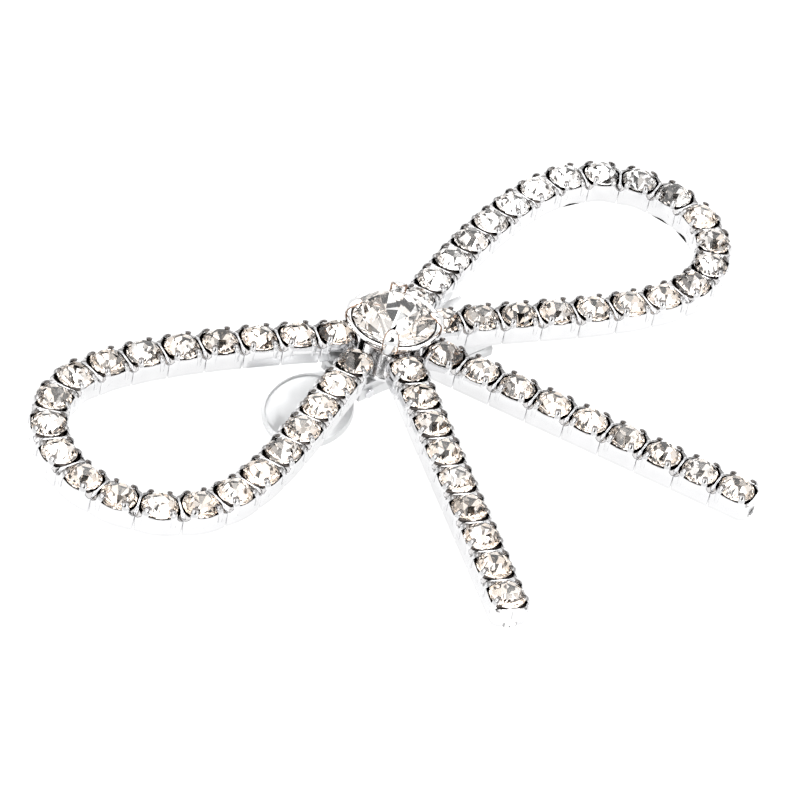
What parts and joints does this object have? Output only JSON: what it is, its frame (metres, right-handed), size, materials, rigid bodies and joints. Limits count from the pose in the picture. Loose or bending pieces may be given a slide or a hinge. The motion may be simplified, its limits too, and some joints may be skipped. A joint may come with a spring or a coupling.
{
  "type": "bow brooch",
  "caption": "Ribbon-bow brooch of claw-set crystal cup chain with a round centre stone and a sprung jaw clip on its back.",
  "frame": {"origin": "on the gripping face of the clip's fixed plate, under the middle of the knot", "axes": "+X along the bow from the left loop to the right loop, -Y towards the tails, +Z out of the brooch's face"},
  "size_m": [0.0717, 0.0421, 0.0094],
  "materials": {
    "cup_plating": "bright silver plating; the metal under it is not visible",
    "small_crystal": "clear foil-backed crystal, faceted",
    "link_wire": "silver plated link",
    "solder_disc": "silver plated sheet",
    "setting_plating": "bright silver plating",
    "centre_crystal": "clear foil-backed crystal, faceted",
    "clip_plating": "silver plated sheet, slightly satin",
    "pin_steel": "plated steel pin",
    "spring_steel": "spring wire"
  },
  "bodies": {
    "brooch": {"left_loop_upper_cups": "cup_plating", "left_loop_end_cups": "cup_plating", "left_loop_lower_cups": "cup_plating", "right_loop_upper_cups": "cup_plating", "right_loop_end_cups": "cup_plating", "right_loop_lower_cups": "cup_plating", "left_tail_cups": "cup_plating", "right_tail_cups": "cup_plating", "left_loop_upper_stones": "small_crystal", "left_loop_end_stones": "small_crystal", "left_loop_lower_stones": "small_crystal", "right_loop_upper_stones": "small_crystal", "right_loop_end_stones": "small_crystal", "right_loop_lower_stones": "small_crystal", "left_tail_stones": "small_crystal", "right_tail_stones": "small_crystal", "left_loop_links": "link_wire", "right_loop_links": "link_wire", "left_tail_links": "link_wire", "right_tail_links": "link_wire", "knot_disc": "solder_disc", "centre_setting": "setting_plating", "centre_stone": "centre_crystal", "clip_plate": "clip_plating", "pivot_pin": "pin_steel", "clip_spring": "spring_steel"},
    "jaw": {"clip_jaw": "clip_plating", "spring_lever_leg": "spring_steel"}
  },
  "joints": [
    {"name": "jaw_hinge", "type": "hinge", "parent": "brooch", "child": "jaw", "pos_m": [-0.0038, 0, -0.0007], "axis": [0, 1, 0], "range_deg": [0, 28], "stiffness_Nm_per_rad": 0.05, "springref_deg": -17.19}
  ]
}
